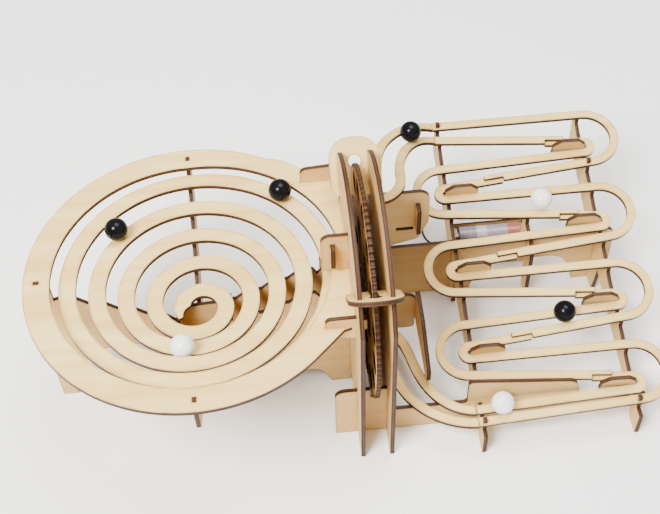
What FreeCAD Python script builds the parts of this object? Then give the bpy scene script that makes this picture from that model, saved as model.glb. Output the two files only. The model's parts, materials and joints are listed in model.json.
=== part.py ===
import FreeCAD, Part
import math
import os

os.makedirs("parts", exist_ok=True)

V = FreeCAD.Vector

# ---------------------------------------------------------------------------
# Driving dimensions, millimetres.  Z is up and the table is z = 0.
# ---------------------------------------------------------------------------
ply = 3.0                    # thickness of the birch plywood sheet
marble_d = 16.0              # glass marble diameter
seat_gap = 0.3               # clear air left under a resting marble

# spiral bowl
ring_r = 110.0               # outside radius of the top ring
ring_width = 17.6            # radial width of the top ring
ring_z = 130.0               # top face of the ring above the table
spiral_r0 = 93.2             # outer edge radius of the spiral strip at the north side
spiral_pitch = 18.2          # radial step per turn
spiral_width = 11.4          # width of the spiral strip
spiral_below = 8.5           # how far the strip lies under the ring at the north side
spiral_drop = 8.4            # fall per turn
spiral_first = -0.42         # turn number where the strip starts, under the ring
spiral_last = 4.32           # turn number of the inner tip
rib_relief = 7.5             # how far the ribs stay below the strip between two turns
tab_proud = 0.2              # how far the rib tabs stand out of the ring

# lift tower
wheel_z = 101.0              # axle height
wheel_r = 80.0               # tooth tip radius of the lift wheel
wheel_teeth = 100            # teeth of the lift wheel
tooth_h = 2.2                # tooth height
pocket_r = 66.8              # radius of the circle of marble pockets
pocket_d = 17.0              # pocket diameter
pocket_count = 16            # marble pockets round the wheel
channel = 17.4               # clear width between the two tower plates
wheel_x = 115.3              # middle plane of the lift wheel
tower_r = 88.0               # radius of the round top of the tower plates
leg_front = -78.0            # front edge of the tower plates
leg_rear = 78.0              # rear edge of the tower plates
guide_bite = 8.0             # depth of the slots that hold the guide plates
leg_w = 26.0                 # width of one tower leg
window_z = 139.0             # height of the upper marble windows
guide_angle = 43.5           # elevation of both guide plates seen from the axle
axle_d = 6.0                 # axle diameter
axle_clear = 0.05            # radial clearance of the running fits
hub_r = 11.0                 # radius of the hub washers

# motor drive
pinion_teeth = 14            # teeth of the motor pinion
motor_r = 12.0               # motor can radius
motor_len = 27.0             # motor can length

# serpentine track
track_pitch = 62.0           # front to back step of one out-and-back pair of runs
track_y1 = 154.5             # centre line of the rear rail of the first run
track_left = 186.0           # where the straight runs begin on the left
track_right = 303.0          # where the straight runs end on the right
track_tilt = 0.221           # rise of every rail plate towards the back
track_z1 = 87.7              # top face of the first rail at track_y1
lap_step = ply               # drop from one rail plate to the next
rail_w = 6.4                 # width of the rails
front_slant = 5.4            # degrees, front rails open out along the run
back_slant = 2.2             # degrees, rear rails of the runs going left
slit_gap = 0.05              # clearance each side of the plates in the tight turns
tight_x_left = 187.5         # centre of the tight turns on the left
tight_x_right = 300.5        # centre of the tight turns on the right
joint_left = 226.0           # where two rail plates meet on the runs going left
joint_right = 278.0          # where two rail plates meet on the runs going right
lap_len = 14.0               # length of the lap at each joint
rib_left_x = 190.0           # left cross rib of the track
rib_mid_x = 247.0            # middle post
rib_right_x = 300.0          # right cross rib of the track

turn_plate_len = 25.0        # length of the plates in the tight turns
turn_plate_up = 10.5         # their height above the rails
turn_plate_down = 13.0       # their depth below the rail tops
rib_depth = 24.0             # height of the web of the cross ribs

# base boards
board_front_y = -55.5        # middle plane of the front base board
board_front_h = 52.0         # height of the front base board
board_rear_y = 64.0          # middle plane of the rear base board
board_rear_h = 56.0          # height of the rear base board
board_right_x = 312.0        # right end of both boards

left_in = wheel_x - channel / 2.0
right_in = wheel_x + channel / 2.0
left_out = left_in - ply
right_out = right_in + ply
marble_r = marble_d / 2.0
ring_in = ring_r - ring_width
spiral_z0 = ring_z - spiral_below
tight_r = (rail_w + ply) / 2.0 + slit_gap

parts = {}


# ---------------------------------------------------------------------------
# Helpers
# ---------------------------------------------------------------------------
def box(x0, x1, y0, y1, z0, z1):
    return Part.makeBox(x1 - x0, y1 - y0, z1 - z0, V(x0, y0, z0))


def cyl_x(x0, x1, y, z, r):
    return Part.makeCylinder(r, x1 - x0, V(x0, y, z), V(1, 0, 0))


def rounded_wire(corners):
    """Closed wire through (a, b, radius) corners, each rounded by its radius."""
    n = len(corners)
    edges = []
    ends = []
    for i in range(n):
        a = V(corners[i - 1][0], corners[i - 1][1], 0)
        b = V(corners[i][0], corners[i][1], 0)
        c = V(corners[(i + 1) % n][0], corners[(i + 1) % n][1], 0)
        r = corners[i][2]
        u = (a - b).normalize()
        w = (c - b).normalize()
        turn = math.acos(max(-1.0, min(1.0, u.dot(w))))
        if r < 1e-6:
            ends.append((b, b))
            continue
        back = r / math.tan(turn / 2.0)
        p = b + u * back
        q = b + w * back
        centre = b + (u + w).normalize() * (r / math.sin(turn / 2.0))
        mid = centre + (b - centre).normalize() * r
        edges.append((i, Part.Arc(p, mid, q).toShape()))
        ends.append((p, q))
    ordered = []
    arcs = dict(edges)
    for i in range(n):
        if i in arcs:
            ordered.append(arcs[i])
        p = ends[i][1]
        q = ends[(i + 1) % n][0]
        if p.distanceToPoint(q) > 1e-6:
            ordered.append(Part.makeLine(p, q))
    return Part.Wire(ordered)


def sheet(corners, thickness=ply):
    """Flat sheet part drawn in its own plane, thickness centred on that plane."""
    solid = Part.Face(rounded_wire(corners)).extrude(V(0, 0, thickness))
    solid.translate(V(0, 0, -thickness / 2.0))
    return solid


def stand_xz(solid, y):
    """Turn a flat part so that its plane is XZ, at the given y."""
    out = solid.copy()
    out.rotate(V(0, 0, 0), V(1, 0, 0), 90)
    out.translate(V(0, y, 0))
    return out


def stand_yz(solid, x):
    """Turn a flat part so that its drawing axes are Y and Z, at the given x."""
    out = solid.copy()
    out.rotate(V(0, 0, 0), V(1, 0, 0), 90)
    out.rotate(V(0, 0, 0), V(0, 0, 1), 90)
    out.translate(V(x, 0, 0))
    return out


def ribbon(left, right, thickness=ply):
    """Bent strip between two space curves given as point lists, thickness downwards."""
    params = [float(i) / (len(left) - 1) for i in range(len(left))]
    edges = []
    for points in (left, right):
        spline = Part.BSplineCurve()
        spline.interpolate(Points=points, Parameters=params)
        edges.append(spline.toShape())
    top = Part.makeRuledSurface(edges[0], edges[1])
    return top.extrude(V(0, 0, -thickness))


def keep(name, solid):
    """File the one solid of a piece under its name."""
    parts[name] = max(solid.Solids, key=lambda s: s.Volume)


def keep_set(name, solids):
    """File a set of identical small pieces under one name."""
    parts[name] = Part.makeCompound([s.Solids[0] for s in solids])


# ---------------------------------------------------------------------------
# Spiral bowl
# ---------------------------------------------------------------------------
def spiral_outer(turn):
    return spiral_r0 - spiral_pitch * turn


def spiral_top(turn):
    return spiral_z0 - spiral_drop * turn


def spiral_direction(turn):
    angle = 2.0 * math.pi * turn
    return V(-math.sin(angle), math.cos(angle), 0)


def spiral_strip():
    """Conical spiral strip with a pointed inner tongue."""
    steps = int((spiral_last - spiral_first) * 24)
    outer = []
    inner = []
    for i in range(steps + 1):
        turn = spiral_first + (spiral_last - spiral_first) * i / steps
        left_over = (spiral_last - turn) * 2.0 * math.pi * max(spiral_outer(turn), 8.0)
        width = min(spiral_width, 3.0 + left_over * 0.5)
        far = spiral_direction(turn) * spiral_outer(turn) + V(0, 0, spiral_top(turn))
        near = spiral_direction(turn) * (spiral_outer(turn) - width) + V(0, 0, spiral_top(turn))
        outer.append(far)
        inner.append(near)
    return ribbon(outer, inner)


# the ring opens wider in its north-east quarter, where the marble comes in
mouth_reach = 99.5
mouth_x = (mouth_reach ** 2 - ring_in ** 2) / (2.0 * mouth_reach)
mouth_r = mouth_reach - mouth_x


def mouth_edge(turn):
    """Radius of the widened ring edge in its north-east quarter."""
    along = spiral_direction(turn).x * mouth_x
    return along + math.sqrt(along ** 2 + mouth_r ** 2 - mouth_x ** 2)


def ring_plate():
    """Flat top ring with the wing that carries it to the tower."""
    ring = Part.makeCylinder(ring_r, ply, V(0, 0, ring_z - ply))
    wing = sheet([
        (40, -100, 0), (78, -77.5, 20), (left_out - 8, -60, 0), (left_out, -58, 6),
        (left_out, 66, 3), (60, 96, 20), (40, 90, 0),
    ])
    wing.translate(V(0, 0, ring_z - ply / 2.0))
    hole = Part.makeCylinder(ring_in, 3 * ply, V(0, 0, ring_z - 2 * ply))
    mouth = Part.makeCylinder(mouth_r, 3 * ply, V(mouth_x, 0, ring_z - 2 * ply))
    mouth = mouth.common(box(0, 2 * ring_r, 4, 2 * ring_r, 0, 2 * ring_z))
    beyond = box(left_out, 2 * ring_r, -2 * ring_r, 2 * ring_r, 0, 2 * ring_z)
    return ring.fuse(wing).removeSplitter().cut(hole).cut(mouth).cut(beyond)


def rib_crossings(side, limit):
    """Radial spans where the strip crosses a rib lying on one side of the bowl."""
    spans = []
    for k in range(-1, 5):
        turn = k + side
        if turn < spiral_first + 0.01 or turn > spiral_last - 0.25:
            continue
        far = spiral_outer(turn)
        near = far - spiral_width
        if near > limit:
            spans.append((far, near, spiral_top(turn)))
    return spans


def stepped_top(side, start, stop):
    """Top line of a rib from radius start inwards to radius stop."""
    line = []
    for far, near, top in rib_crossings(side, stop):
        if far > start:
            continue
        line.append((min(far + 1.2, ring_in + 0.6), top - rib_relief + 1.0))
        line.append((far - 1.5, top - rib_relief + 1.0))
        line.append((far - 1.5, top - ply + 0.7))
        line.append((near + 1.5, top - ply + 0.7))
        line.append((near + 1.5, top - rib_relief - 1.0))
    return line


def west_rib():
    """Tall arched rib from the western foot to the well at the centre."""
    top = stepped_top(0.25, 92.0, 12.0)
    corners = [(-108.5, 0, 0), (-108.5, 60, 0), (-105, ring_z - 12, 0), (-105, ring_z - ply, 0)]
    corners += [(-103.2, ring_z - ply, 0), (-103.2, ring_z + tab_proud, 0), (-99.2, ring_z + tab_proud, 0)]
    corners += [(-99.2, ring_z - ply, 0), (-ring_in - 1, ring_z - ply, 0)]
    corners += [(-ring_in - 1, spiral_z0 - 10, 0)]
    corners += [(-r, z, 0) for r, z in top]
    corners += [(-well_x - ply, spiral_top(4.3) - 9, 0), (-well_x - ply, 46, 0)]
    corners += [(-34, 55, 12), (-78, 52, 22), (-94, 20, 0), (-98, 0, 0)]
    return stand_xz(sheet(corners), 0)


well_x = 13.0                # half length of the drop well under the spiral
well_y = channel / 2.0       # half width of the drop well and the return chute
chute_high = 52.0            # chute floor at the well
chute_low = wheel_z - pocket_r - marble_r - 0.4   # chute floor at the tower


def chute_wall(y):
    """Side wall of the return chute, carrying the eastern half of the spiral."""
    top = stepped_top(0.75, 84.0, 12.0)
    corners = [(-well_x - ply, 44, 0), (-well_x - ply, spiral_top(4.3) - 8, 0)]
    corners += [(r, z - 2.0, 0) for r, z in reversed(top)]
    corners += [(spiral_outer(0.75) + 4.0, spiral_top(0.75) - rib_relief - 6, 0)]
    corners += [(91.5, ring_z - 18, 0), (94.5, ring_z - ply, 0), (left_out, ring_z - ply, 0)]
    corners += [(left_out, 0, 0), (left_out - 14, 0, 0), (left_out - 22, 16, 8)]
    corners += [(40, 20, 14), (20, 36, 8)]
    return stand_xz(sheet(corners), y)


def chute_floor():
    """Sloping floor that brings the marble from the well to the foot of the wheel."""
    long = sheet([
        (-well_x, chute_high, 0), (left_in - 0.5, chute_low, 0),
        (left_in - 0.5, chute_low - ply, 0), (-well_x, chute_high - ply, 0),
    ], channel)
    return stand_xz(long, 0)


def well_end():
    """End wall that closes the drop well on the west side."""
    return box(-well_x - ply, -well_x, -well_y, well_y, chute_high - ply, spiral_top(4.3) - 9)


def cross_beam(sign):
    """Shallow beam that carries the ring and the spiral to the front or to the rear."""
    side = 0.0 if sign > 0 else 0.5
    top = stepped_top(side, 95.0, 12.0)
    wall = well_y + ply
    corners = [(105, ring_z - ply, 0), (103.2, ring_z - ply, 0), (103.2, ring_z + tab_proud, 0)]
    corners += [(99.2, ring_z + tab_proud, 0), (99.2, ring_z - ply, 0), (ring_in + 1, ring_z - ply, 0)]
    corners += [(ring_in + 1, top[0][1], 0)]
    corners += [(r, z, 0) for r, z in top]
    corners += [(wall, spiral_top(4.3) - 10, 0), (wall, spiral_top(4.3) - 32, 0)]
    corners += [(96, ring_z - 34, 10), (105, ring_z - 26, 0)]
    if sign < 0:
        corners = [(-a, b, r) for a, b, r in corners]
    return stand_yz(sheet(corners), 0)


def build_bowl():
    strip = spiral_strip()
    ring = ring_plate()
    beams = {
        "west_rib": west_rib(),
        "north_beam": cross_beam(1),
        "south_beam": cross_beam(-1),
        "chute_wall_front": chute_wall(-well_y - ply / 2.0),
        "chute_wall_rear": chute_wall(well_y + ply / 2.0),
    }
    for name in ("west_rib", "north_beam", "south_beam"):
        ring = ring.cut(beams[name])
    keep("ring_plate", ring)
    keep("spiral_strip", strip)
    for name in beams:
        keep(name, beams[name].cut(strip))
    keep("chute_floor", chute_floor())
    keep("well_end_wall", well_end())


# ---------------------------------------------------------------------------
# Lift tower
# ---------------------------------------------------------------------------
def window_y():
    """Distance behind the axle of the upper marble windows."""
    return math.sqrt(pocket_r ** 2 - (window_z - wheel_z) ** 2)


def tower_outline(x):
    """Side plate: round head over two legs, with axle hole and marble windows."""
    head = cyl_x(x, x + ply, 0, wheel_z, tower_r)
    trim = box(x, x + ply, -tower_r, leg_front, 0, 2 * wheel_z)
    head = head.cut(trim)
    head = head.cut(box(x, x + ply, leg_rear, tower_r, 0, wheel_z))
    legs = box(x, x + ply, leg_front, leg_rear, 0, wheel_z)
    arch = box(x, x + ply, leg_front + leg_w, leg_rear - leg_w, 0, 12)
    for y in (leg_front + leg_w, leg_rear - leg_w):
        arch = arch.cut(cyl_x(x, x + ply, y, 0, 6))
    plate = head.fuse(legs).removeSplitter().cut(arch)
    plate = plate.cut(cyl_x(x - 1, x + ply + 1, 0, wheel_z, axle_d / 2.0 + axle_clear))
    low = wheel_z - pocket_r
    for y, z in ((window_y(), window_z), (0.0, low)):
        below = marble_r + seat_gap if z > wheel_z else marble_r + ply + 3.0
        opening = box(x, x + ply, y - 9.5, y + 9.5, z - below, z + 9.5)
        plate = plate.cut(opening)
    for sign in (-1, 1):
        plate = plate.cut(guide_slot(x, sign))
    return plate


def guide_slot(x, sign):
    """Radial slot where a guide plate is pushed over the tower plate."""
    slot = box(x, x + ply, tower_r - guide_bite, tower_r + 20, -ply / 2.0 - 0.05, ply / 2.0 + 0.05)
    return turn_guide(slot, sign)


def turn_guide(solid, sign):
    """Put a part drawn along +Y at the axle height at the guide angle, rear or front."""
    out = solid.copy()
    angle = guide_angle if sign > 0 else 180.0 - guide_angle
    out.rotate(V(0, 0, 0), V(1, 0, 0), angle)
    out.translate(V(0, 0, wheel_z))
    return out


def guide_plate(sign):
    """Cap plate pushed radially over both tower plates, open round the wheel."""
    near = tower_r - 30.0
    far = tower_r + 10.0
    half = 17.5
    flat = sheet([
        (wheel_x - half, near, 8), (wheel_x + half, near, 8),
        (wheel_x + half, far, 15), (wheel_x - half, far, 15),
    ])
    reach = tower_r - guide_bite
    for x in (left_out, right_in):
        flat = flat.cut(box(x - 0.05, x + ply + 0.05, near - 1, reach, -ply, ply))
    rim = 2.6
    flat = flat.cut(box(wheel_x - rim, wheel_x + rim, near - 1, wheel_r + 1.2, -ply, ply))
    flat = flat.cut(Part.makeCylinder(4.2, 3 * ply, V(wheel_x, wheel_r + 1.5, -ply * 1.5)))
    return turn_guide(flat, sign)


def gear_face(teeth, tip, height, x0, x1):
    """Spur wheel with flat-topped teeth."""
    root = tip - height
    points = []
    step = 2.0 * math.pi / teeth
    for i in range(teeth):
        a = i * step
        for frac, r in ((-0.30, root), (-0.15, tip), (0.15, tip), (0.30, root)):
            points.append(V(0, r * math.cos(a + frac * step), r * math.sin(a + frac * step)))
    points.append(points[0])
    face = Part.Face(Part.makePolygon(points))
    solid = face.extrude(V(x1 - x0, 0, 0))
    solid.translate(V(x0, 0, 0))
    return solid


def lift_wheel():
    """Toothed plywood disc with a circle of round marble pockets."""
    x0 = wheel_x - ply / 2.0
    x1 = wheel_x + ply / 2.0
    disc = gear_face(wheel_teeth, wheel_r, tooth_h, x0, x1)
    for i in range(pocket_count):
        a = 2.0 * math.pi * i / pocket_count - math.pi / 2.0
        y = pocket_r * math.cos(a)
        z = pocket_r * math.sin(a)
        disc = disc.cut(cyl_x(x0, x1, y, z, pocket_d / 2.0))
    for i in range(6):
        a = math.pi / 3.0 * i
        disc = disc.cut(cyl_x(x0, x1, 34 * math.cos(a), 34 * math.sin(a), 12.0))
    disc = disc.cut(cyl_x(x0, x1, 0, 0, axle_d / 2.0))
    disc.translate(V(0, 0, wheel_z))
    return disc


def hub(x0, x1):
    """Round spacer that holds the wheel in the middle of the channel."""
    ring = cyl_x(x0, x1, 0, wheel_z, hub_r)
    return ring.cut(cyl_x(x0, x1, 0, wheel_z, axle_d / 2.0))


def axle():
    """Steel axle running in both tower plates."""
    return cyl_x(left_out - 5.0, right_out + 5.0, 0, wheel_z, axle_d / 2.0)


def collar(x0, x1):
    """Push-on collar outside a tower plate."""
    ring = cyl_x(x0, x1, 0, wheel_z, 6.0)
    return ring.cut(cyl_x(x0, x1, 0, wheel_z, axle_d / 2.0))


# pinion sits behind and below the axle, in mesh with the wheel
pinion_tip = wheel_r * pinion_teeth / wheel_teeth + 0.9
mesh_distance = wheel_r + pinion_tip - tooth_h + 0.35
mesh_angle = -18.0
pinion_y = mesh_distance * math.cos(math.radians(mesh_angle))
pinion_z = wheel_z + mesh_distance * math.sin(math.radians(mesh_angle))


def pinion():
    """Motor pinion, turned so that a tooth gap meets a wheel tooth."""
    wheel_step = 360.0 / wheel_teeth
    pinion_step = 360.0 / pinion_teeth
    offset = (mesh_angle % wheel_step) / wheel_step
    gear = gear_face(pinion_teeth, pinion_tip, tooth_h, wheel_x - 2.5, wheel_x + 2.5)
    gear = gear.cut(cyl_x(wheel_x - 3, wheel_x + 3, 0, 0, 1.0))
    phase = mesh_angle + 180.0 + pinion_step * (0.5 + offset)
    gear.rotate(V(0, 0, 0), V(1, 0, 0), phase)
    gear.translate(V(0, pinion_y, pinion_z))
    return gear


def motor_parts():
    """Motor on its bracket plate outside the right tower plate."""
    x0 = right_out
    plate = box(x0, x0 + ply, pinion_y - 26, pinion_y + 15, pinion_z - 15, pinion_z + 15)
    plate = plate.cut(cyl_x(x0 - 1, x0 + ply + 1, pinion_y, pinion_z, 3.5))
    can = cyl_x(x0 + ply, x0 + ply + motor_len, pinion_y, pinion_z, motor_r)
    flat = box(x0, x0 + 60, pinion_y - 20, pinion_y + 20, pinion_z + 9.5, pinion_z + 20)
    can = can.cut(flat)
    low = box(x0, x0 + 60, pinion_y - 20, pinion_y + 20, pinion_z - 20, pinion_z - 9.5)
    can = can.cut(low)
    boss = cyl_x(x0 + ply - 1.5, x0 + ply, pinion_y, pinion_z, 3.2)
    can = can.fuse(boss).removeSplitter()
    can = can.cut(cyl_x(x0, x0 + ply + 10, pinion_y, pinion_z, 1.0 + axle_clear))
    shaft = cyl_x(wheel_x - 3.5, x0 + ply + 9.5, pinion_y, pinion_z, 1.0)
    keep("motor_plate", plate)
    keep("motor", can)
    keep("motor_shaft", shaft)
    keep("pinion", pinion())


def build_tower():
    motor_parts()
    left = tower_outline(left_out)
    right = tower_outline(right_in)
    relief = cyl_x(right_in - 1, right_out + 1, pinion_y, pinion_z, 3.5)
    right = right.cut(relief)
    for sign, name in ((1, "rear_guide_plate"), (-1, "front_guide_plate")):
        keep(name, guide_plate(sign))
    keep("tower_plate_left", left)
    keep("tower_plate_right", right)
    keep("lift_wheel", lift_wheel())
    half = ply / 2.0
    keep_set("hub_spacers", [hub(left_in + 0.4, wheel_x - half), hub(wheel_x + half, right_in - 0.4)])
    keep("axle", axle())
    keep_set("axle_collars", [
        collar(left_out - 4.4, left_out - 0.4), collar(right_out + 0.4, right_out + 4.4),
    ])


# ---------------------------------------------------------------------------
# Serpentine track
# ---------------------------------------------------------------------------
tilt = math.atan(track_tilt)
front_a = math.radians(front_slant)
back_a = math.radians(back_slant)
sheet_pitch = track_pitch / math.cos(tilt)
last_slant = math.radians(2.8)
turn_r_right = ((sheet_pitch * math.cos(front_a) - (track_right - tight_x_left) * math.sin(front_a))
                / (1.0 + math.cos(front_a)) - tight_r)
half_run = tight_x_right - track_left
turn_r_left = ((sheet_pitch - half_run * (math.tan(back_a) + math.tan(front_a)))
               / (1.0 / math.cos(back_a) + 1.0 / math.cos(front_a)) - tight_r)
tight_s2 = -28.1                # sheet position of the first tight turn on the right
last_turn_r = 20.75             # outer turn of the last pair of runs


def lay(solid, level):
    """Carry a part drawn in the track sheet into place, level plates below the first."""
    out = solid.copy()
    out.translate(V(0, 0, -lap_step * level))
    out.rotate(V(0, 0, 0), V(1, 0, 0), math.degrees(tilt))
    out.translate(V(0, track_y1, track_z1))
    return out


def lay_point(x, s, h, level):
    """Position of a point given in track sheet coordinates."""
    n = h - lap_step * level
    y = s * math.cos(tilt) - n * math.sin(tilt)
    z = s * math.sin(tilt) + n * math.cos(tilt)
    return V(x, track_y1 + y, track_z1 + z)


def straight(x0, s0, x1, s1, near=0.5, far=0.5):
    """Straight length of rail from (x0, s0) to (x1, s1)."""
    p = V(x0, s0, 0)
    q = V(x1, s1, 0)
    side = V(-(s1 - s0), x1 - x0, 0).normalize()
    a = side * (rail_w * near)
    b = side * (-rail_w * far)
    face = Part.Face(Part.makePolygon([p + a, q + a, q + b, p + b, p + a]))
    return face.extrude(V(0, 0, -ply))


def bend(x, s, r, a0, a1):
    """Arc of rail round (x, s) between two angles in degrees."""
    big = Part.makeCylinder(r + rail_w / 2.0, ply, V(x, s, -ply), V(0, 0, 1), a1 - a0)
    small = Part.makeCylinder(r - rail_w / 2.0, ply, V(x, s, -ply), V(0, 0, 1), a1 - a0)
    arc = big.cut(small)
    arc.rotate(V(x, s, 0), V(0, 0, 1), a0)
    return arc


def fuse_all(solids):
    whole = solids[0]
    for other in solids[1:]:
        whole = whole.fuse(other)
    return whole.removeSplitter()


def on_line(x0, s0, heading, x):
    """Point at x on the line through (x0, s0) with the given heading in radians."""
    return s0 + (x - x0) * math.tan(heading)


rail_lines = []


def note_line(name, level, x0, s0, x1, s1):
    """Remember a straight length so that the ribs can carry it."""
    rail_lines.append((name, level, x0, s0, x1, s1))


def a_rail(k):
    """Rail plate: rear rail of a run going right, outer turn, front rail back."""
    name = "rail_a%d" % k
    level = k - 1
    s_back = -sheet_pitch * (k - 1)
    pieces = []
    x_start = track_left
    if k > 1:
        cx = tight_x_left
        cs = s_back + tight_r
        x0 = cx - tight_r * math.sin(front_a)
        s0 = cs + tight_r * math.cos(front_a)
        xj = joint_left + lap_len / 2.0
        sj = on_line(x0, s0, front_a, xj)
        pieces.append(straight(xj, sj, x0, s0))
        pieces.append(bend(cx, cs, tight_r, 90.0 + front_slant, 270.0))
        note_line(name, level, x0, s0, xj, sj)
        x_start = cx
    pieces.append(straight(x_start, s_back, track_right, s_back))
    note_line(name, level, x_start, s_back, track_right, s_back)
    slant = front_slant
    r = turn_r_right
    x_end = joint_left - lap_len / 2.0
    if k == 4:
        slant = math.degrees(last_slant)
        r = last_turn_r
        x_end = track_left
    pieces.append(bend(track_right, s_back - r, r, slant - 90.0, 90.0))
    a = math.radians(slant)
    x1 = track_right + r * math.sin(a)
    s1 = s_back - r - r * math.cos(a)
    s2 = on_line(x1, s1, a, x_end)
    if k < 4:
        x_mid = joint_left + lap_len / 2.0 + 0.5
        s_mid = on_line(x1, s1, a, x_mid)
        pieces.append(straight(x1, s1, x_mid, s_mid))
        pieces.append(straight(x_mid + 0.5, on_line(x1, s1, a, x_mid + 0.5), x_end, s2, 0.0, 0.5))
        note_line(name, level, x_mid, s_mid, x1, s1)
    else:
        pieces.append(straight(x1, s1, x_end, s2))
        note_line(name, level, x_end, s2, x1, s1)
    return lay(fuse_all(pieces), level)


def b_rail(k):
    """Rail plate: tight turn, rear rail of a run going left, outer turn, front rail."""
    name = "rail_b%d" % k
    level = k - 1
    cs = tight_s2 - sheet_pitch * (k - 2)
    pieces = []
    n_start = V(math.sin(front_a), math.cos(front_a), 0)
    if k > 1:
        p = V(tight_x_right, cs, 0) + n_start * tight_r
        xj = joint_right - lap_len / 2.0
        sj = on_line(p.x, p.y, -front_a, xj)
        pieces.append(straight(xj, sj, p.x, p.y))
        note_line(name, level, xj, sj, p.x, p.y)
        pieces.append(bend(tight_x_right, cs, tight_r, back_slant - 90.0, 90.0 - front_slant))
        m = V(-math.sin(back_a), math.cos(back_a), 0)
        q = V(tight_x_right, cs, 0) - m * tight_r
        ax = track_left
        if k < 5:
            a_s = cs - half_run * math.tan(back_a) - (tight_r + turn_r_left) / math.cos(back_a)
            u = V(ax, a_s, 0) + m * turn_r_left
            pieces.append(straight(q.x, q.y, u.x, u.y))
            note_line(name, level, u.x, u.y, q.x, q.y)
            pieces.append(bend(ax, a_s, turn_r_left, 90.0 + back_slant, 270.0 - front_slant))
        else:
            s_end = on_line(q.x, q.y, back_a, ax)
            pieces.append(straight(q.x, q.y, ax, s_end))
            note_line(name, level, ax, s_end, q.x, q.y)
            return lay(fuse_all(pieces), level)
    nxt = V(tight_x_right, cs - (sheet_pitch if k > 1 else 0.0), 0) + n_start * tight_r
    if k == 1:
        nxt = V(tight_x_right, tight_s2, 0) + n_start * tight_r
    x_from = track_left - (turn_r_left * math.sin(front_a) if k > 1 else 0.0)
    s_from = on_line(nxt.x, nxt.y, -front_a, x_from)
    x_mid = joint_right - lap_len / 2.0 - 0.5
    s_mid = on_line(nxt.x, nxt.y, -front_a, x_mid)
    x_end = joint_right + lap_len / 2.0
    s_end = on_line(nxt.x, nxt.y, -front_a, x_end)
    pieces.append(straight(x_from, s_from, x_mid, s_mid))
    pieces.append(straight(x_mid - 0.5, on_line(nxt.x, nxt.y, -front_a, x_mid - 0.5), x_end, s_end, 0.5, 0.0))
    note_line(name, level, x_from, s_from, x_mid, s_mid)
    return lay(fuse_all(pieces), level)


def turn_plate(x0, s_mid, mirror):
    """Upright pill-shaped plate that stands in the slit of a tight turn."""
    up = turn_plate_up
    down = turn_plate_down
    long = turn_plate_len
    flat = sheet([
        (0, -down, 4), (long, -down, 7), (long, 1, 0), (long, up - 6, 1.5),
        (long - 6, up, 2), (6, up, 2), (0, up - 6, 1.5), (0, 1, 0),
    ])
    if mirror:
        flat = flat.mirror(V(long / 2.0, 0, 0), V(1, 0, 0))
    flat.translate(V(x0, 0, 0))
    return stand_xz(flat, s_mid)


def smooth_path(points, count=40):
    """Points along a smooth curve through a few control positions."""
    spline = Part.BSplineCurve()
    spline.interpolate([V(*p) for p in points])
    out = []
    for i in range(count + 1):
        t = spline.FirstParameter + (spline.LastParameter - spline.FirstParameter) * i / count
        out.append((spline.value(t), spline.tangent(t)[0]))
    return out


def bent_rail(points, width=7.0):
    """Rail bent along control positions given at its centre line."""
    left = []
    right = []
    for p, d in smooth_path(points):
        side = V(-d.y, d.x, 0).normalize() * (width / 2.0)
        left.append(p + side)
        right.append(p - side)
    strip = ribbon(left, right)
    strip = strip.cut(box(0, right_out, -200, 200, 0, 200))
    return strip.cut(box(track_left - 0.35, 400, -200, 200, 0, 200))


def rib_height(x, y):
    """Height of the rib's top line: clear of the marble, below the rails nearby."""
    low = None
    for name, level, x0, s0, x1, s1 in rail_lines:
        if x < x0 - 0.1 or x > x1 + 0.1:
            continue
        s = s0 + (s1 - s0) * (x - x0) / (x1 - x0)
        p = lay_point(x, s, 0, level)
        if abs(p.y - y) < 18.0:
            z = p.z + (y - p.y) * track_tilt
            low = z if low is None else min(low, z)
    return low - 6.0


def rib_underside(x, y):
    return max(rib_height(x, y) - rib_depth, 8.0)


def cross_rib(x, y0, y1, feet):
    """Cross rib: one sheet on two feet, with a post under every rail that it carries."""
    steps = 16
    corners = []
    for i in range(steps + 1):
        y = y0 + (y1 - y0) * i / steps
        corners.append((y, rib_height(x, y), 0))
    edge = y1
    for a, b in reversed(feet):
        if edge > b:
            corners.append((edge, rib_underside(x, edge), 0))
            corners.append((b + 4, rib_underside(x, b + 4), 0))
        corners.append((b, 0, 0))
        corners.append((a, 0, 0))
        edge = a - 4
    if feet[0][0] > y0:
        corners.append((edge, rib_underside(x, edge), 0))
        corners.append((y0, rib_underside(x, y0), 0))
    body = stand_yz(sheet(corners), x)
    for name, level, x0, s0, x1, s1 in rail_lines:
        if x < x0 or x > x1:
            continue
        s = s0 + (s1 - s0) * (x - x0) / (x1 - x0)
        p = lay_point(x, s, 0, level)
        if p.y < y0 or p.y > y1:
            continue
        body = body.fuse(box(x - ply / 2.0, x + ply / 2.0, p.y - 2, p.y + 2, p.z - 12, p.z - 2))
    return body.removeSplitter()


def rail_tab(x, name):
    """Tongue of a rib that pins an outer rail from above."""
    for line in rail_lines:
        if line[0] == name and line[2] <= x <= line[4]:
            s = line[3] + (line[5] - line[3]) * (x - line[2]) / (line[4] - line[2])
            p = lay_point(x, s, 0, line[1])
    return box(x - ply / 2.0, x + ply / 2.0, p.y - 1.6, p.y + 1.6, p.z - 10, p.z + 3.0)


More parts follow.
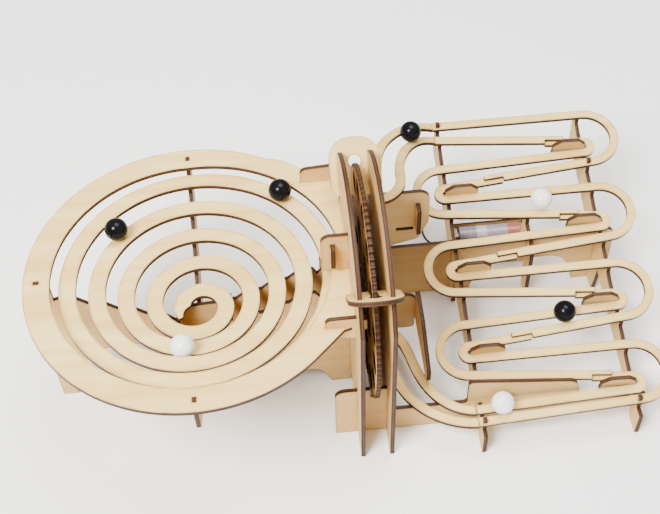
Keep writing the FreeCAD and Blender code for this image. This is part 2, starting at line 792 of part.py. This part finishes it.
def build_track():
    rails = {}
    for k in range(1, 5):
        rails["rail_a%d" % k] = a_rail(k)
    for k in range(1, 6):
        rails["rail_b%d" % k] = b_rail(k)
    rails["start_rail_outer"] = bent_rail(start_outer)
    rails["start_rail_inner"] = bent_rail(start_inner)
    rails["exit_rail_outer"] = bent_rail(exit_outer)
    rails["exit_rail_inner"] = bent_rail(exit_inner)

    plates = {}
    for k in range(2, 5):
        s_back = -sheet_pitch * (k - 1)
        flat = turn_plate(0.0, s_back + rail_w / 2.0 + ply / 2.0 + 0.02, 0.0)
        flat.translate(V(tight_x_left, 0, 0))
        plates["turn_plate_left_%d" % (k - 1)] = lay(flat, k - 1)
    for k in range(2, 6):
        cs = tight_s2 - sheet_pitch * (k - 2)
        flat = turn_plate(-turn_plate_len, 0.0, turn_plate_len)
        flat.rotate(V(0, 0, 0), V(0, 0, 1), (back_slant - front_slant) / 2.0)
        flat.translate(V(tight_x_right, cs, 0))
        plates["turn_plate_right_%d" % (k - 1)] = lay(flat, k - 1)

    boards = {
        "base_board_front": front_board(),
        "base_board_rear": rear_board(),
    }
    ribs = {
        "rib_left": cross_rib(rib_left_x, -84.0, 159.0, [(-84.0, -71.0), (50.0, 76.0)]),
        "rib_middle": cross_rib(rib_mid_x, 50.0, 82.0, [(50.0, 61.0)]),
        "rib_right": cross_rib(rib_right_x, -80.0, 159.0, [(-80.0, -67.0), (50.0, 76.0)]),
    }
    for name, x in (("rib_left", rib_left_x), ("rib_right", rib_right_x)):
        holes = []
        for rail in ("rail_a1", "rail_a4"):
            pin = rail_tab(x, rail)
            ribs[name] = ribs[name].fuse(pin).removeSplitter()
            holes.append((rail, pin))
        for rail, pin in holes:
            rails[rail] = rails[rail].cut(pin)
    for name in ribs:
        x = ribs[name].BoundBox.Center.x
        for y, z in ((board_front_y, 12.0), (board_rear_y, 26.0)):
            slot = box(x - ply, x + ply, y - ply / 2.0, y + ply / 2.0, -1, z)
            ribs[name] = ribs[name].cut(slot)
        for other in list(rails) + list(plates):
            solid = rails.get(other) or plates.get(other)
            if solid.BoundBox.intersect(ribs[name].BoundBox):
                ribs[name] = ribs[name].cut(solid)
    for name in boards:
        for group in (ribs, rails, plates):
            for solid in group.values():
                if solid.BoundBox.intersect(boards[name].BoundBox):
                    boards[name] = boards[name].cut(solid)
    clear = cyl_x(wheel_x - 3.0, wheel_x + 3.0, 0, wheel_z, wheel_r + 1.0)
    for name in boards:
        boards[name] = boards[name].cut(clear)
    for group in (rails, ribs, boards):
        for name in group:
            keep(name, group[name])
    for side in ("left", "right"):
        keep_set("turn_plates_" + side, [p for n, p in plates.items() if side in n])


# control positions of the bent rails, at the top of their centre lines
start_outer = [
    (124.0, 66.5, 132.5), (130.5, 71.0, 130.5), (133.5, 82.0, 127.0), (135.5, 95.0, 121.0),
    (141.0, 115.0, 112.0),
    (151.0, 134.0, 103.0), (165.0, 148.5, 95.0), (187.0, 154.5, 87.7),
]
start_inner = [
    (124.0, 46.0, 132.0), (138.5, 50.0, 129.0), (147.5, 63.0, 125.0), (150.0, 80.0, 119.0),
    (153.0, 100.0, 110.0), (160.0, 120.0, 101.0), (170.5, 134.5, 93.5), (187.0, 142.2, 85.0),
]
exit_outer = [
    (187.0, -75.7, 27.6), (165.0, -70.5, 27.3), (147.0, -57.0, 27.0), (135.0, -36.0, 26.6),
    (130.5, -19.0, 26.3), (125.0, -9.0, 26.0),
]
exit_inner = [
    (187.0, -65.3, 26.8), (169.0, -59.0, 26.8), (156.0, -44.0, 26.7), (147.5, -20.0, 26.5),
    (143.0, -3.0, 26.3), (136.0, 7.5, 26.1), (125.0, 9.5, 26.0),
]


def front_board():
    """Front base board: high on the left, open under the exit rails, arched on the right."""
    h = board_front_h
    corners = [
        (88, 0, 0), (88, h, 7), (128.5, h, 0), (128.5, 23.8, 3), (181, 23.8, 3), (181, h - 3, 3),
        (258, h - 14, 8), (264, 12, 4), (board_right_x, 12, 3), (board_right_x, 0, 0),
        (290, 0, 0), (280, 6, 4), (212, 6, 4), (200, 0, 0),
    ]
    return stand_xz(sheet(corners), board_front_y)


def rear_board():
    """Rear base board with a wide arch between its feet."""
    h = board_rear_h
    corners = [
        (88, 0, 0), (88, h, 7), (board_right_x, h, 7), (board_right_x, 0, 0),
        (286, 0, 0), (276, 30, 16), (214, 30, 16), (204, 0, 0),
    ]
    return stand_xz(sheet(corners), board_rear_y)


# ---------------------------------------------------------------------------
# Brackets between the tower and the tracks
# ---------------------------------------------------------------------------
def bracket_xz(corners, y):
    return stand_xz(sheet(corners), y)


def build_brackets():
    r = right_out
    t = right_in - 3.5
    pieces = {
        # tall plate behind the tower that carries the start rails
        "exit_bracket": bracket_xz([
            (r, 0, 0), (r + 13, 0, 0), (r + 13, 68, 5), (r + 34, 74, 8), (r + 41, 92, 6),
            (r + 41, 123.4, 8), (r, 123.4, 0), (r, 112, 0), (t, 112, 1), (t, 98, 1), (r, 98, 0),
        ], 57.0),
        # short wall beside the lower marble window
        "return_bracket": bracket_xz([
            (r, 20, 0), (r + 27, 20, 4), (r + 27, 58, 6), (r, 58, 0), (r, 52, 0),
            (t, 52, 1), (t, 46, 1), (r, 46, 0),
        ], 17.0),
        "return_guard": stand_yz(sheet([
            (-42, 32, 3), (19, 32, 3), (19, 62, 6), (-8, 60, 6), (-42, 44, 4),
        ]), r + 27.0 + ply / 2.0),
        # brackets that tie the ring wing to the left tower plate
        "wing_bracket_front": bracket_xz([
            (left_out - 20, 118, 0), (left_out - 20, 138, 4), (left_out, 138, 0), (left_out, 136, 0),
            (left_in + 3.5, 136, 1), (left_in + 3.5, 126, 1), (left_out, 126, 0), (left_out, 118, 0),
        ], -57.0),
        "wing_bracket_middle": bracket_xz([
            (left_out - 18, ring_z, 0), (left_out - 18, 163, 6), (left_out, 163, 0),
            (left_out, 152, 0), (left_in + 3.5, 152, 1), (left_in + 3.5, 140, 1),
            (left_out, 140, 0), (left_out, ring_z, 0),
        ], -10.0),
        "start_wall": bracket_xz([
            (78, ring_z, 0), (78, ring_z + 12, 5), (left_out, ring_z + 14, 0), (left_out, ring_z, 0),
        ], 70.0),
    }
    return pieces


# ---------------------------------------------------------------------------
# Battery box and lead
# ---------------------------------------------------------------------------
cell_r = 7.1                 # AA cell radius
cell_len = 50.0              # AA cell length with its button
box_x = 198.0                # left end of the battery box
box_y = 84.0                 # front side of the battery box
box_wall = 1.6               # wall of the battery box
box_h = 14.0                 # height of the battery box walls


def battery_parts():
    w = 2 * (2 * cell_r + 0.6) + 2 * box_wall
    contacts = []
    long = cell_len + 6.0 + 2 * box_wall
    shell = box(box_x, box_x + long, box_y, box_y + w, 0, box_h)
    for i in range(2):
        y = box_y + box_wall + 0.3 + cell_r + i * (2 * cell_r + 0.6)
        z = box_wall + cell_r
        bed = cyl_x(box_x + box_wall, box_x + long - box_wall, y, z, cell_r + 0.1)
        mouth = box(box_x + box_wall, box_x + long - box_wall, y - cell_r, y + cell_r, z, 40)
        shell = shell.cut(bed).cut(mouth)
        x0 = box_x + box_wall + 3.0
        body = cyl_x(x0, x0 + cell_len - 1.4, y, z, cell_r)
        button = cyl_x(x0 + cell_len - 1.4, x0 + cell_len, y, z, 2.6)
        if i == 1:
            body = cyl_x(x0 + 1.4, x0 + cell_len, y, z, cell_r)
            button = cyl_x(x0, x0 + 1.4, y, z, 2.6)
        keep("cell_%d" % (i + 1), body.fuse(button))
        for x in (box_x + box_wall, box_x + long - box_wall - 3.0):
            contacts.append(box(x, x + 3.0, y - 4.5, y + 4.5, z - 4.5, z + 4.5))
    keep_set("battery_contacts", contacts)
    keep("battery_box", shell)


# ---------------------------------------------------------------------------
# Marbles
# ---------------------------------------------------------------------------
def ball(x, y, z):
    return Part.makeSphere(marble_r, V(x, y, z))


def bowl_marble(turn, below):
    """Marble that rolls on the strip at turn + below, against the edge outside it."""
    edge = mouth_edge(turn) if below == 0 else spiral_outer(turn) - spiral_width
    r = edge - marble_r - seat_gap
    z = spiral_top(turn + below) + marble_r + seat_gap
    p = spiral_direction(turn) * r
    return ball(p.x, p.y, z)


def line_at(name, x, index=0):
    """Top centre of a straight length of rail at x."""
    found = []
    for line in rail_lines:
        if line[0] == name and line[2] <= x <= line[4]:
            s = line[3] + (line[5] - line[3]) * (x - line[2]) / (line[4] - line[2])
            found.append((s, line[1]))
    return found[index]


def run_seat(x, rear, front, rear_index, front_index):
    """Marble centre on a run, resting on the inner edges of its two rails."""
    s0, level0 = line_at(rear, x, rear_index)
    s1, level1 = line_at(front, x, front_index)
    reach = marble_r + seat_gap
    ps = s0 - rail_w / 2.0
    qs = s1 + rail_w / 2.0
    pn = -lap_step * level0
    qn = -lap_step * level1
    apart = math.hypot(ps - qs, pn - qn)
    rise = math.sqrt(reach ** 2 - apart ** 2 / 4.0)
    cs = (ps + qs) / 2.0 - (pn - qn) / apart * rise
    cn = (pn + qn) / 2.0 + (ps - qs) / apart * rise
    if cs > ps:
        # the rear rail is one lap lower, so the marble rests on its top face
        cn = pn + reach
        cs = qs + math.sqrt(reach ** 2 - (cn - qn) ** 2)
    return lay_point(x, cs, cn, 0)


def curve_seat(outer, inner, at_outer, at_inner):
    """Marble centre on the curve between two bent rails, at a share of each rail's length."""
    po, do = smooth_path(outer, 100)[at_outer]
    pi, di = smooth_path(inner, 100)[at_inner]
    side_o = V(-do.y, do.x, 0).normalize() * 3.5
    side_i = V(-di.y, di.x, 0).normalize() * 3.5
    p = po - side_o
    q = pi + side_i
    half = p.distanceToPoint(q) / 2.0
    normal = V(do.x, do.y, do.z).cross(p - q).normalize()
    if normal.z < 0:
        normal = normal * -1.0
    return (p + q) * 0.5 + normal * math.sqrt((marble_r + seat_gap) ** 2 - half ** 2)


def marble_parts():
    keep("marble_bowl_1", bowl_marble(-0.126, 0))
    keep("marble_bowl_2", bowl_marble(0.128, 1))
    keep("marble_bowl_3", bowl_marble(1.47, 1))
    seats = {
        "marble_track_1": curve_seat(start_outer, start_inner, 74, 80),
        "marble_track_2": run_seat(258.0, "rail_a2", "rail_b2", 0, 1),
        "marble_track_3": run_seat(258.5, "rail_b4", "rail_a3", 0, 1),
        "marble_track_4": run_seat(203.6, "rail_b5", "rail_a4", 0, 2),
    }
    for name in seats:
        keep(name, ball(seats[name].x, seats[name].y, seats[name].z))


# ---------------------------------------------------------------------------
# Lead from the motor to the battery box
# ---------------------------------------------------------------------------
lead_d = 1.8
motor_end = right_out + ply + motor_len
lead_route = [
    (motor_end, pinion_y, pinion_z), (162.5, 86.2, 71.5), (166.0, 88.0, 64.0),
    (168.5, 91.0, 54.0), (170.5, 94.5, 42.0), (172.0, 97.0, 29.0), (176.0, 99.0, 17.0),
    (184.0, 100.0, 9.0), (box_x, 99.6, 7.5),
]


def lead():
    """Two-core lead: straight runs joined by tangent arcs."""
    pts = [V(*p) for p in lead_route]
    edges = []
    here = pts[0]
    for i in range(1, len(pts) - 1):
        u = (pts[i - 1] - pts[i])
        w = (pts[i + 1] - pts[i])
        short = min(u.Length, w.Length)
        u = u.normalize()
        w = w.normalize()
        turn = math.pi - math.acos(max(-1.0, min(1.0, u.dot(w))))
        r = 0.45 * short / math.tan(turn / 2.0)
        print("lead bend radius", round(r, 1))
        p = pts[i] + u * (0.45 * short)
        q = pts[i] + w * (0.45 * short)
        centre = pts[i] + (u + w).normalize() * (r / math.cos(turn / 2.0))
        mid = centre + (pts[i] - centre).normalize() * r
        edges.append(Part.LineSegment(here, p).toShape())
        edges.append(Part.Arc(p, mid, q).toShape())
        here = q
    edges.append(Part.LineSegment(here, pts[-1]).toShape())
    path = Part.Wire(edges)
    start = (pts[1] - pts[0]).normalize()
    ring = Part.Wire([Part.makeCircle(lead_d / 2.0, pts[0], start)])
    tube = path.makePipeShell([ring], True, False)
    print("lead length", round(path.Length, 1), "volume ratio",
          round(tube.Volume / (path.Length * math.pi * lead_d ** 2 / 4.0), 3))
    return tube


def join_brackets():
    """Push the bracket tabs through the tower plates and the ring wing."""
    pieces = build_brackets()
    keys = {
        "exit_bracket": box(right_out + 31, right_out + 31 + ply, 47.0, 66.0, 88.0, 112.0),
        "wing_bracket_middle": box(left_out - 12, left_out - 12 + ply, -17.0, -3.0, 138.0, 156.0),
    }
    for host, key in keys.items():
        pieces[host] = pieces[host].cut(key)
    keep_set("lock_keys", list(keys.values()))
    spare_slot = box(right_out + 17.5, right_out + 30, 50.0, 64.0, 84.5, 84.5 + ply)
    pieces["exit_bracket"] = pieces["exit_bracket"].cut(spare_slot)
    parts["ring_plate"] = parts["ring_plate"].cut(pieces["wing_bracket_front"])
    for rail in ("start_rail_outer", "start_rail_inner"):
        pieces["exit_bracket"] = pieces["exit_bracket"].cut(parts[rail])
    for name, piece in pieces.items():
        for host in ("tower_plate_left", "tower_plate_right"):
            if piece.BoundBox.intersect(parts[host].BoundBox):
                parts[host] = parts[host].cut(piece)
        keep(name, piece)


def join_boards():
    """Halve the base boards and the tower legs into each other."""
    for board, y in (("base_board_front", board_front_y), ("base_board_rear", board_rear_y)):
        for host in ("tower_plate_left", "tower_plate_right"):
            bound = parts[host].BoundBox
            low = box(bound.XMin, bound.XMax, y - ply / 2.0, y + ply / 2.0, -1, 26)
            parts[host] = parts[host].cut(low)
            parts[board] = parts[board].cut(parts[host])


def build_all():
    build_bowl()
    build_tower()
    build_track()
    join_brackets()
    join_boards()
    battery_parts()
    marble_parts()
    keep("lead", lead())


def place():
    """Shift that brings the middle of the footprint to the origin."""
    whole = None
    for solid in parts.values():
        bound = solid.optimalBoundingBox(False)
        if whole is None:
            whole = bound
        else:
            whole.add(bound)
    return V(-whole.Center.x, -whole.Center.y, -whole.ZMin)


build_all()
shift = place()
print("shift", shift, "nodes", len(parts))
for name, solid in parts.items():
    solid.translate(shift)
    solid.exportStep("parts/%s.step" % name)
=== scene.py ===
import json
import math

import bpy
from mathutils import Matrix, Vector


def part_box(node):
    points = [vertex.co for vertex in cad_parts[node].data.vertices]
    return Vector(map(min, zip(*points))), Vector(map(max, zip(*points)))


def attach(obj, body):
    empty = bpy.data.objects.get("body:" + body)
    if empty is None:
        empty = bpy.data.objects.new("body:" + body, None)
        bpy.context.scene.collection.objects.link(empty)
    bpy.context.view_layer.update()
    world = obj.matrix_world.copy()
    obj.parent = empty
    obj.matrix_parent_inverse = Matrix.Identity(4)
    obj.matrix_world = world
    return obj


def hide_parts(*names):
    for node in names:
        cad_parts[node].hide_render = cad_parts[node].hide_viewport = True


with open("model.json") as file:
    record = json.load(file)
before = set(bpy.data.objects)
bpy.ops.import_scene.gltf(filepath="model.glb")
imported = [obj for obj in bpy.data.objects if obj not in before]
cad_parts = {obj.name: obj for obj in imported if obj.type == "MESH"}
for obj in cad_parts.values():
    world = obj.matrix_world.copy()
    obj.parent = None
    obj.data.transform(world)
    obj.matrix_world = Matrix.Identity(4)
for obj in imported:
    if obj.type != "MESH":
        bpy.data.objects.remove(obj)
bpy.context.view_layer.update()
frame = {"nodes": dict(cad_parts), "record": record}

# ---------------------------------------------------------------------------
# Sizes, metres
# ---------------------------------------------------------------------------
ply_layer = 0.0010           # thickness of one veneer
lead_d = 0.0018
floor_size = 30.0
floor_gap = 0.0003           # how far the floor lies under the feet
smoke_reach = 0.0016         # how far the laser's smoke stain reaches in from a rim

# camera: where it stands, its pitch, yaw and roll, and its lens
camera_place = Vector((-0.0491, -0.5091, 0.7245))
camera_pitch = math.radians(50.775)
camera_yaw = math.radians(-3.833)
camera_roll = math.radians(-2.264)
camera_lens = 63.38


# ---------------------------------------------------------------------------
# Camera
# ---------------------------------------------------------------------------
def make_camera():
    ahead = Vector((
        -math.sin(camera_yaw) * math.cos(camera_pitch),
        math.cos(camera_yaw) * math.cos(camera_pitch),
        -math.sin(camera_pitch),
    ))
    level = Vector((math.cos(camera_yaw), math.sin(camera_yaw), 0.0))
    upright = level.cross(ahead)
    right = level * math.cos(camera_roll) + upright * math.sin(camera_roll)
    up = upright * math.cos(camera_roll) - level * math.sin(camera_roll)
    data = bpy.data.cameras.new("camera")
    data.lens = camera_lens
    data.sensor_width = 36.0
    data.clip_start = 0.01
    data.clip_end = 100.0
    cam = bpy.data.objects.new("camera", data)
    turn = Matrix((right, up, -ahead)).transposed()
    cam.matrix_world = Matrix.Translation(camera_place) @ turn.to_4x4()
    bpy.context.scene.collection.objects.link(cam)
    bpy.context.scene.camera = cam


make_camera()


# ---------------------------------------------------------------------------
# Lead between the motor and the battery box
# ---------------------------------------------------------------------------
lead_route = [
    (0.04816, 0.06133, 0.07311), (0.05366, 0.06170, 0.07150), (0.05716, 0.06350, 0.06400),
    (0.05966, 0.06650, 0.05400), (0.06166, 0.07000, 0.04200), (0.06316, 0.07250, 0.02900),
    (0.06716, 0.07450, 0.01700), (0.07516, 0.07550, 0.00900), (0.08916, 0.07510, 0.00750),
]


def make_lead():
    curve = bpy.data.curves.new("lead_curve", "CURVE")
    curve.dimensions = "3D"
    curve.bevel_depth = 1.0      # each point's radius sets the thickness
    curve.bevel_resolution = 4
    curve.resolution_u = 16
    spline = curve.splines.new("NURBS")
    spline.points.add(len(lead_route) - 1)
    for point, place in zip(spline.points, lead_route):
        point.co = (*place, 1.0)
        point.radius = lead_d / 2.0
    spline.order_u = 3
    spline.use_endpoint_u = True
    lead = bpy.data.objects.new("lead_line", curve)
    bpy.context.scene.collection.objects.link(lead)
    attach(lead, "frame")
    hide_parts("lead")
    return lead


# ---------------------------------------------------------------------------
# Node helpers
# ---------------------------------------------------------------------------
class Graph:
    """A material's node tree, with short calls for the nodes used here."""

    def __init__(self, name):
        self.material = bpy.data.materials.new(name)
        self.material.use_nodes = True
        self.tree = self.material.node_tree
        self.shader = self.tree.nodes["Principled BSDF"]

    def node(self, kind, **settings):
        made = self.tree.nodes.new(kind)
        for key, value in settings.items():
            setattr(made, key, value)
        return made

    def feed(self, socket, value):
        if isinstance(value, bpy.types.NodeSocket):
            self.tree.links.new(value, socket)
        else:
            socket.default_value = value

    def place(self):
        return self.node("ShaderNodeTexCoord").outputs["Object"]

    def normal(self):
        return self.node("ShaderNodeTexCoord").outputs["Normal"]

    def math(self, kind, a, b=0.0, clamp=False):
        made = self.node("ShaderNodeMath", operation=kind, use_clamp=clamp)
        self.feed(made.inputs[0], a)
        self.feed(made.inputs[1], b)
        return made.outputs[0]

    def along(self, vector, direction):
        made = self.node("ShaderNodeVectorMath", operation="DOT_PRODUCT")
        self.feed(made.inputs[0], vector)
        made.inputs[1].default_value = direction
        return made.outputs["Value"]

    def stretch(self, u, v, w, scales):
        made = self.node("ShaderNodeCombineXYZ")
        for socket, value, scale in zip(made.inputs, (u, v, w), scales):
            self.feed(socket, self.math("MULTIPLY", value, scale))
        return made.outputs[0]

    def noise(self, vector, scale, detail=3.0, rough=0.5):
        made = self.node("ShaderNodeTexNoise")
        self.feed(made.inputs["Vector"], vector)
        made.inputs["Scale"].default_value = scale
        made.inputs["Detail"].default_value = detail
        made.inputs["Roughness"].default_value = rough
        return made.outputs[0]

    def ramp(self, value, low, high, to_low=0.0, to_high=1.0):
        made = self.node("ShaderNodeMapRange")
        made.clamp = True
        self.feed(made.inputs[0], value)
        for socket, number in zip(list(made.inputs)[1:5], (low, high, to_low, to_high)):
            self.feed(socket, number)
        return made.outputs[0]

    def mix(self, amount, a, b, blend="MIX"):
        made = self.node("ShaderNodeMix", data_type="RGBA", blend_type=blend)
        self.feed(made.inputs[0], amount)
        for socket, value in ((made.inputs[6], a), (made.inputs[7], b)):
            self.feed(socket, value if isinstance(value, bpy.types.NodeSocket) else (*value, 1.0))
        return made.outputs[2]

    def bump(self, height, strength, distance):
        made = self.node("ShaderNodeBump")
        made.inputs["Strength"].default_value = strength
        made.inputs["Distance"].default_value = distance
        self.feed(made.inputs["Height"], height)
        self.feed(self.shader.inputs["Normal"], made.outputs[0])

    def surface(self, color=None, rough=None):
        if color is not None:
            self.feed(self.shader.inputs["Base Color"], color)
        if rough is not None:
            self.feed(self.shader.inputs["Roughness"], rough)
        return self.material


# ---------------------------------------------------------------------------
# Plywood: pale birch faces, laser-burnt edges with the veneers showing
# ---------------------------------------------------------------------------
birch_light = (0.80, 0.62, 0.25)
birch_warm = (0.66, 0.42, 0.13)
# painted shade: a darker, browner tone laid on upright sheets
birch_painted_shade = (0.52, 0.31, 0.13)
birch_pore = (0.40, 0.22, 0.08)
smoke = (0.26, 0.125, 0.05)
char_dark = (0.026, 0.010, 0.004)
char_light = (0.115, 0.045, 0.015)
edge_limit = 0.80            # a surface steeper than this to the sheet is an edge


def plywood(name, facing):
    """Plywood for a sheet whose faces look along facing."""
    g = Graph(name)
    n = Vector(facing).normalized()
    grain = Vector((0, 0, 1)) if abs(n.x) > 0.7 else Vector((1, 0, 0))
    grain = (grain - n * grain.dot(n)).normalized()
    cross = n.cross(grain)
    place = g.place()
    u = g.along(place, grain)
    v = g.along(place, cross)
    w = g.along(place, n)

    # grain: long soft bands, fine fibres and short pores, all stretched along the veneer
    bands = g.noise(g.stretch(u, v, w, (9.0, 95.0, 20.0)), 1.0, 4.0, 0.55)
    fibres = g.noise(g.stretch(u, v, w, (60.0, 1500.0, 200.0)), 1.0, 3.0, 0.6)
    pores = g.noise(g.stretch(u, v, w, (180.0, 2600.0, 300.0)), 1.0, 2.0, 0.5)
    clouds = g.noise(place, 14.0, 2.0)
    tone = g.mix(g.ramp(bands, 0.35, 0.70), birch_light, birch_warm)
    tone = g.mix(g.ramp(fibres, 0.42, 0.72, 0.0, 0.35), tone, birch_warm)
    tone = g.mix(g.ramp(pores, 0.66, 0.78, 0.0, 0.55), tone, birch_pore)
    tone = g.mix(g.ramp(clouds, 0.35, 0.68, 0.0, 0.30), tone, birch_warm)
    # upright sheets are painted darker and browner than the flat ones: painted shade on the sides
    upright = 1.0 - abs(n.z)
    tone = g.mix(0.55 * upright, tone, birch_painted_shade)

    # smoke stain from the laser, strongest at the rim and uneven along it
    near = g.node("ShaderNodeAmbientOcclusion", samples=6, inside=True, only_local=True)
    near.inputs["Distance"].default_value = smoke_reach
    rim = g.ramp(near.outputs["AO"], 0.55, 0.98, 1.0, 0.0)
    uneven = g.ramp(g.noise(place, 90.0, 2.0), 0.35, 0.65, 0.35, 1.0)
    tone = g.mix(g.math("MULTIPLY", g.math("MULTIPLY", rim, uneven), 0.75), tone, smoke)

    # edge: charred, with the veneers as darker and lighter lines and ripples of the beam
    layer = g.math("SINE", g.math("MULTIPLY", w, 2.0 * math.pi / (2.0 * ply_layer)))
    ripple = g.noise(g.stretch(u, v, w, (900.0, 900.0, 60.0)), 1.0, 2.0, 0.6)
    scorch = g.noise(place, 70.0, 3.0)
    lit = g.math("ADD", g.ramp(layer, -0.6, 0.8, 0.0, 0.62), g.ramp(ripple, 0.4, 0.7, 0.0, 0.25))
    char = g.mix(g.math("MULTIPLY", lit, g.ramp(scorch, 0.3, 0.7, 0.45, 1.0)), char_dark, char_light)

    steep = g.math("ABSOLUTE", g.along(g.normal(), n))
    face = g.math("GREATER_THAN", steep, edge_limit)
    color = g.mix(face, char, tone)
    rough = g.ramp(fibres, 0.3, 0.7, 0.50, 0.66)
    height = g.math("ADD", g.math("MULTIPLY", fibres, 0.6), g.math("MULTIPLY", ripple, 0.4))
    g.bump(height, 0.25, 0.00025)
    g.shader.inputs["Specular IOR Level"].default_value = 0.22
    return g.surface(color, rough)


def facing_of(thing):
    """Direction in which most of a sheet's surface looks."""
    best = {}
    for face in thing.data.polygons:
        n = face.normal
        big = max(n, key=abs)
        n = n if big > 0 else -n
        key = tuple(round(c, 1) + 0.0 for c in n)
        best[key] = best.get(key, 0.0) + face.area
    return max(best, key=best.get)


# ---------------------------------------------------------------------------
# Other materials
# ---------------------------------------------------------------------------
def marble(name, base, shade, rough, shine):
    g = Graph(name)
    swirl = g.noise(g.place(), 130.0, 3.0)
    g.shader.inputs["Specular IOR Level"].default_value = shine
    color = g.mix(g.ramp(swirl, 0.35, 0.7, 0.0, 0.6), base, shade)
    dust = g.ramp(g.noise(g.place(), 700.0, 2.0), 0.4, 0.8, rough, rough + 0.08)
    return g.surface(color, dust)


def metal(name, base, along, rough):
    g = Graph(name)
    place = g.place()
    axes = [g.along(place, axis) for axis in ((1, 0, 0), (0, 1, 0), (0, 0, 1))]
    scales = [60.0 if along == i else 3000.0 for i in range(3)]
    lines = g.noise(g.stretch(*axes, scales), 1.0, 3.0)
    g.shader.inputs["Metallic"].default_value = 1.0
    dark = tuple(c * 0.75 for c in base)
    g.bump(lines, 0.08, 0.0001)
    return g.surface(g.mix(lines, dark, base), g.ramp(lines, 0.3, 0.7, rough - 0.08, rough + 0.1))


def plastic(name, base, shade, rough):
    g = Graph(name)
    cloud = g.noise(g.place(), 60.0, 3.0)
    fine = g.noise(g.place(), 2500.0, 2.0)
    g.bump(fine, 0.10, 0.0001)
    return g.surface(g.mix(g.ramp(cloud, 0.35, 0.7), base, shade), g.ramp(fine, 0.3, 0.7, rough, rough + 0.1))


def cell_wrap(low_x, high_x):
    """Shrink wrap: grey lilac with a pale band and a reddish end."""
    g = Graph("cell_wrap")
    place = g.place()
    share = g.ramp(g.along(place, (1, 0, 0)), low_x, high_x)
    worn = g.noise(place, 160.0, 3.0)
    body = g.mix(g.ramp(worn, 0.35, 0.7), (0.30, 0.27, 0.38), (0.42, 0.38, 0.47))
    band = g.math("MULTIPLY", g.math("GREATER_THAN", share, 0.30), g.math("LESS_THAN", share, 0.46))
    body = g.mix(band, body, (0.62, 0.60, 0.64))
    body = g.mix(g.math("GREATER_THAN", share, 0.80), body, (0.42, 0.12, 0.10))
    g.shader.inputs["Coat Weight"].default_value = 0.6
    return g.surface(body, g.ramp(worn, 0.3, 0.7, 0.22, 0.34))


# ---------------------------------------------------------------------------
# Stage and light
# ---------------------------------------------------------------------------
def make_stage():
    mesh = bpy.data.meshes.new("floor")
    h = floor_size / 2.0
    corners = [(x * h, y * h, -floor_gap) for x, y in ((-1, -1), (1, -1), (1, 1), (-1, 1))]
    mesh.from_pydata(corners, [], [(0, 1, 2, 3)])
    floor = bpy.data.objects.new("floor", mesh)
    bpy.context.scene.collection.objects.link(floor)
    g = Graph("floor_pale")
    speck = g.noise(g.place(), 40.0, 2.0)
    mesh.materials.append(g.surface(g.mix(speck, (0.93, 0.93, 0.93), (0.95, 0.95, 0.95)), 0.9))


def area_light(name, place, target, size, power, color=(1.0, 1.0, 1.0)):
    data = bpy.data.lights.new(name, "AREA")
    data.shape = "DISK"
    data.size = size
    data.energy = power
    data.color = color
    light = bpy.data.objects.new(name, data)
    light.location = place
    light.rotation_euler = (Vector(target) - Vector(place)).to_track_quat("-Z", "Y").to_euler()
    bpy.context.scene.collection.objects.link(light)


def make_light():
    world = bpy.data.worlds.new("world")
    world.use_nodes = True
    back = world.node_tree.nodes["Background"]
    back.inputs["Color"].default_value = (1.0, 1.0, 1.0, 1.0)
    back.inputs["Strength"].default_value = 0.55
    bpy.context.scene.world = world
    area_light("key", (-0.75, -0.75, 1.5), (-0.05, 0.0, 0.05), 0.8, 85.0, (1.0, 0.985, 0.95))
    area_light("top", (0.25, 0.25, 1.8), (0.05, 0.0, 0.05), 1.2, 45.0, (1.0, 0.98, 0.94))


# ---------------------------------------------------------------------------
# Dress every CAD node
# ---------------------------------------------------------------------------
def dress():
    cells = [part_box(n) for n in frame["nodes"] if n.startswith("cell")]
    low_x = min(low.x for low, high in cells)
    high_x = max(high.x for low, high in cells)
    ready = {
        "marble_black": marble("glass_black", (0.003, 0.003, 0.004), (0.007, 0.007, 0.010), 0.05, 0.10),
        "marble_white": marble("glass_white", (0.86, 0.88, 0.87), (0.74, 0.79, 0.80), 0.06, 0.45),
        "steel": metal("steel_turned", (0.62, 0.61, 0.59), 0, 0.30),
        "motor_can": metal("zinc_can", (0.70, 0.69, 0.67), 0, 0.34),
        "pinion_plastic": plastic("pinion_white", (0.78, 0.76, 0.70), (0.70, 0.67, 0.60), 0.40),
        "cell_wrap": cell_wrap(low_x, high_x),
        "contact_spring": metal("contact_plated", (0.72, 0.62, 0.40), 1, 0.30),
        "lead_sheath": plastic("lead_black", (0.012, 0.012, 0.012), (0.030, 0.028, 0.028), 0.45),
    }
    sheets = {}
    slots = {part["node"]: part["material_slot"] for part in frame["record"]["subparts"]}
    for name, thing in frame["nodes"].items():
        slot = slots[name]
        if slot in ready:
            material = ready[slot]
        else:
            facing = facing_of(thing)
            if facing not in sheets:
                sheets[facing] = plywood("birch_%d" % len(sheets), facing)
            material = sheets[facing]
        thing.data.materials.clear()
        thing.data.materials.append(material)
    return ready


finishes = dress()
lead = make_lead()
lead.data.materials.append(finishes["lead_sheath"])
make_stage()
make_light()

bpy.context.view_layer.update()
